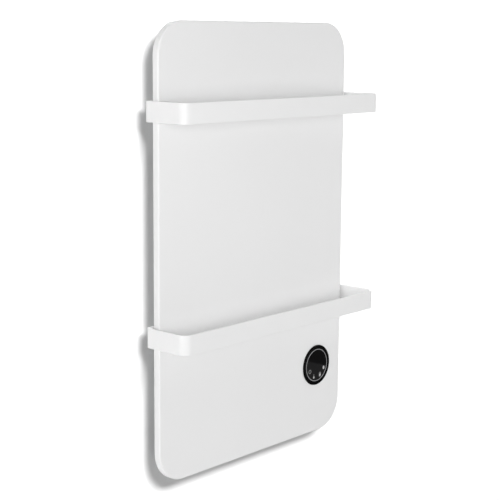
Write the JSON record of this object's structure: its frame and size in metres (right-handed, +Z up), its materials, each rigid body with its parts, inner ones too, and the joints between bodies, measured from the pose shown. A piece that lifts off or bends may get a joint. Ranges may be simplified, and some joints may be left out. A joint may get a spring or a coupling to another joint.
{
  "type": "infrared panel heater",
  "caption": "Flat wall-hung infrared panel heater with rounded corners, flat-strip towel bars wrapped round its sides, a round touch control low on the right, and folded wall rails.",
  "frame": {"origin": "centre of the four wall fixing slots, in the plane of the wall", "axes": "+X to the right as seen from the room, +Y into the wall, +Z up"},
  "size_m": [0.526, 0.1188, 0.8],
  "materials": {
    "white_coat": "satin white powder coat",
    "cover_coat": "matt light grey powder coat",
    "zinc_sheet": "galvanised sheet",
    "screw_steel": "zinc-plated",
    "rubber": "matt black rubber",
    "film": "amber insulating film",
    "carbon_sheet": "carbon heating layer",
    "copper": "bare copper strip",
    "foil": "bright foil",
    "fibre_board": "pressed mineral fibre",
    "cutout_metal": "drawn cap",
    "black_plastic": "moulded",
    "gloss_black": "high-gloss moulding",
    "trim_grey": "satin ring",
    "black_glass": "back-printed glass",
    "circuit_board": "solder mask",
    "blue_plastic": "moulded",
    "yellow_tape": "taped winding",
    "capacitor_sleeve": "shrink sleeve",
    "green_plastic": "moulded",
    "ivory_plastic": "moulded",
    "grey_nylon": "moulded",
    "brown_lead": "silicone sleeve",
    "blue_lead": "silicone sleeve",
    "earth_sleeve": "silicone sleeve",
    "grey_lead": "thin sleeve"
  },
  "bodies": {
    "wall_rails": {"upper_wall_rail": "zinc_sheet", "lower_wall_rail": "zinc_sheet"},
    "heater": {"front_panel": "white_coat", "rear_cover": "cover_coat", "rear_cover_screws": "screw_steel", "upper_towel_bar": "white_coat", "lower_towel_bar": "white_coat", "upper_bar_screws": "screw_steel", "lower_bar_screws": "screw_steel", "bar_nut_plates": "zinc_sheet", "upper_hooks": "zinc_sheet", "lower_hooks": "zinc_sheet", "hook_rivets": "screw_steel", "hook_backing_plates": "zinc_sheet", "wall_spacers": "rubber", "front_insulating_sheet": "film", "heating_sheet": "carbon_sheet", "busbars": "copper", "rear_insulating_sheet": "film", "reflector_foil": "foil", "insulation_board": "fibre_board", "thermal_cutouts": "cutout_metal", "panel_sensor": "black_plastic", "control_housing": "black_plastic", "control_gasket": "rubber", "control_nut": "black_plastic", "control_bezel": "gloss_black", "control_trim_ring": "trim_grey", "control_glass": "black_glass", "display_board": "circuit_board", "display_module": "black_plastic", "touch_pads": "cutout_metal", "electronics_cover": "cover_coat", "electronics_cover_screws": "screw_steel", "power_board": "circuit_board", "board_standoffs": "ivory_plastic", "board_screws": "screw_steel", "relay": "blue_plastic", "transformer": "yellow_tape", "capacitors": "capacitor_sleeve", "lead_connector": "green_plastic", "ribbon_connector": "ivory_plastic", "terminal_block": "ivory_plastic", "earth_stud": "screw_steel", "cable_gland": "grey_nylon", "gland_locknut": "grey_nylon", "lead_grommet": "rubber", "live_lead": "brown_lead", "link_lead": "brown_lead", "return_lead": "blue_lead", "sensor_lead": "grey_lead", "supply_leads": "brown_lead", "earth_lead": "earth_sleeve", "display_cable": "grey_lead"}
  },
  "joints": [
    {"name": "heater_lift", "type": "slide", "parent": "wall_rails", "child": "heater", "axis": [0, 0, 1], "range_m": [0, 0.012]}
  ]
}
